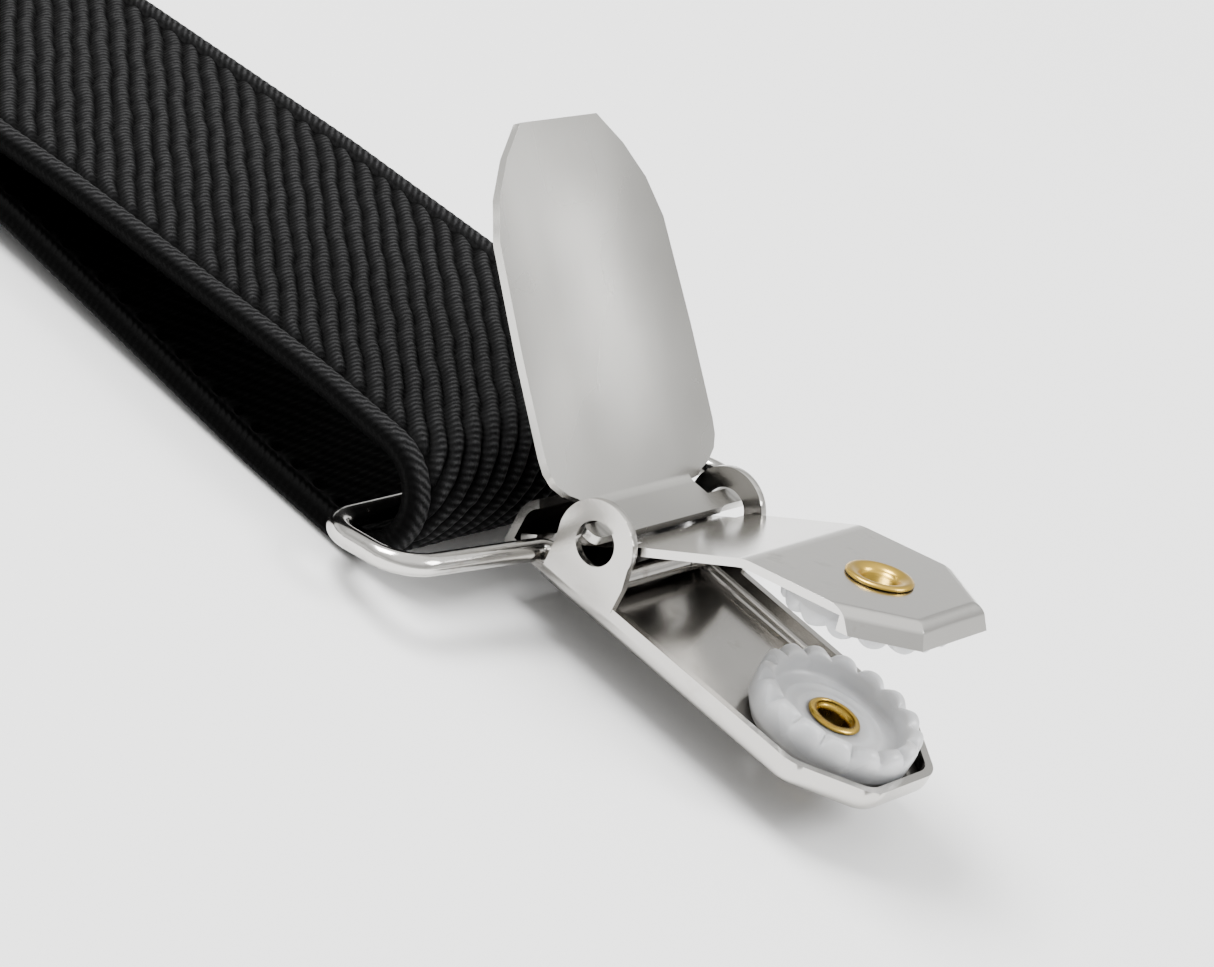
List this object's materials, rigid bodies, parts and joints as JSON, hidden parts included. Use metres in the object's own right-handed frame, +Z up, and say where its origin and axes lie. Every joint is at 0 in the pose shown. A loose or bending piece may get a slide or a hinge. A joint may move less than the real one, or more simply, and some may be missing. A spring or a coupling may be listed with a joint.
{
  "type": "clip-on suspenders",
  "caption": "Y-back clip-on suspenders, folded for storage: elastic straps, wire loops, lever-lock clips with toothed nylon pads, slide adjusters and a leather back patch.",
  "frame": {"origin": "under the middle of the whole folded object, on the table it lies on", "axes": "+X along the left front strap towards its clip's tip, +Y across it away from the right front strap, +Z up"},
  "size_m": [0.4502, 0.2034, 0.0293],
  "materials": {
    "nickel_sheet": "bright nickel plate",
    "nickel_wire": "bright nickel plate",
    "adjuster_metal": "bright nickel plate",
    "brass": "satin",
    "nylon": "milky, smooth",
    "elastic_webbing": "ribbed weave",
    "patch_leather": "fine grain, semi-matt",
    "thread": "twisted thread"
  },
  "bodies": {
    "straps": {"left_front_strap": "elastic_webbing", "right_front_strap": "elastic_webbing", "back_strap": "elastic_webbing", "back_loop_stitching": "thread", "patch_back_leather": "patch_leather", "patch_front_leather": "patch_leather", "patch_stitching": "thread"},
    "left_wire": {"left_wire_loop": "nickel_wire"},
    "left_clip": {"left_clip_body": "nickel_sheet", "left_lower_tooth_pad": "nylon", "left_lower_eyelet": "brass"},
    "left_jaw": {"left_upper_jaw": "nickel_sheet", "left_upper_tooth_pad": "nylon", "left_upper_eyelet": "brass"},
    "left_lever_body": {"left_lever": "nickel_sheet"},
    "right_wire": {"right_wire_loop": "nickel_wire"},
    "right_clip": {"right_clip_body": "nickel_sheet", "right_lower_tooth_pad": "nylon", "right_lower_eyelet": "brass"},
    "right_jaw": {"right_upper_jaw": "nickel_sheet", "right_upper_tooth_pad": "nylon", "right_upper_eyelet": "brass"},
    "right_lever_body": {"right_lever": "nickel_sheet"},
    "back_wire": {"back_wire_loop": "nickel_wire"},
    "back_clip": {"back_clip_body": "nickel_sheet", "back_lower_tooth_pad": "nylon", "back_lower_eyelet": "brass"},
    "back_jaw": {"back_upper_jaw": "nickel_sheet", "back_upper_tooth_pad": "nylon", "back_upper_eyelet": "brass"},
    "back_lever_body": {"back_lever": "nickel_sheet"},
    "left_adjuster": {"left_adjuster_frame": "adjuster_metal", "left_adjuster_bar": "adjuster_metal"},
    "right_adjuster": {"right_adjuster_frame": "adjuster_metal", "right_adjuster_bar": "adjuster_metal"}
  },
  "joints": [
    {"name": "left_strap_hinge", "type": "hinge", "parent": "straps", "child": "left_wire", "pos_m": [0.185, 0.05856, 0.00282], "axis": [0, 1, 0], "range_deg": [-25, 35]},
    {"name": "left_wire_hinge", "type": "hinge", "parent": "left_wire", "child": "left_clip", "pos_m": [0.19965, 0.05856, 0.0058], "axis": [0, 1, 0], "range_deg": [-18, 0]},
    {"name": "left_lever_hinge", "type": "hinge", "parent": "left_clip", "child": "left_lever_body", "pos_m": [0.1988, 0.05856, 0.00925], "axis": [0, 1, 0], "range_deg": [0, 130]},
    {"name": "left_jaw_hinge", "type": "hinge", "parent": "left_clip", "child": "left_jaw", "pos_m": [0.19265, 0.05856, 0.00483], "axis": [0, 1, 0], "range_deg": [0, 13.5]},
    {"name": "right_strap_hinge", "type": "hinge", "parent": "straps", "child": "right_wire", "pos_m": [0.15163, -0.07528, 0.00282], "axis": [0.4695, 0.8829, 0], "range_deg": [-25, 35]},
    {"name": "right_wire_hinge", "type": "hinge", "parent": "right_wire", "child": "right_clip", "pos_m": [0.16456, -0.08216, 0.0058], "axis": [0.4695, 0.8829, 0], "range_deg": [-18, 0]},
    {"name": "right_lever_hinge", "type": "hinge", "parent": "right_clip", "child": "right_lever_body", "pos_m": [0.16381, -0.08176, 0.00925], "axis": [0.4695, 0.8829, 0], "range_deg": [-130, 0]},
    {"name": "right_jaw_hinge", "type": "hinge", "parent": "right_clip", "child": "right_jaw", "pos_m": [0.15838, -0.07887, 0.00483], "axis": [0.4695, 0.8829, 0], "range_deg": [-13.5, 0]},
    {"name": "back_strap_hinge", "type": "hinge", "parent": "straps", "child": "back_wire", "pos_m": [-0.1812, 0.07878, 0.00282], "axis": [-0.2419, -0.9703, 0], "range_deg": [-25, 35]},
    {"name": "back_wire_hinge", "type": "hinge", "parent": "back_wire", "child": "back_clip", "pos_m": [-0.19542, 0.08233, 0.0058], "axis": [-0.2419, -0.9703, 0], "range_deg": [-18, 0]},
    {"name": "back_lever_hinge", "type": "hinge", "parent": "back_clip", "child": "back_lever_body", "pos_m": [-0.19459, 0.08212, 0.00925], "axis": [-0.2419, -0.9703, 0], "range_deg": [-130, 0]},
    {"name": "back_jaw_hinge", "type": "hinge", "parent": "back_clip", "child": "back_jaw", "pos_m": [-0.18863, 0.08064, 0.00483], "axis": [-0.2419, -0.9703, 0], "range_deg": [-13.5, 0]},
    {"name": "left_adjuster_slide", "type": "slide", "parent": "straps", "child": "left_adjuster", "axis": [1, 0, 0], "range_m": [-0.006, 0.006]},
    {"name": "right_adjuster_slide", "type": "slide", "parent": "straps", "child": "right_adjuster", "axis": [0.8829, -0.4695, 0], "range_m": [-0.006, 0.006]}
  ],
  "couplings": [
    {"joint": "left_jaw_hinge", "follows": "left_lever_hinge", "ratio": 0.1038},
    {"joint": "right_jaw_hinge", "follows": "right_lever_hinge", "ratio": 0.1038},
    {"joint": "back_jaw_hinge", "follows": "back_lever_hinge", "ratio": 0.1038}
  ]
}
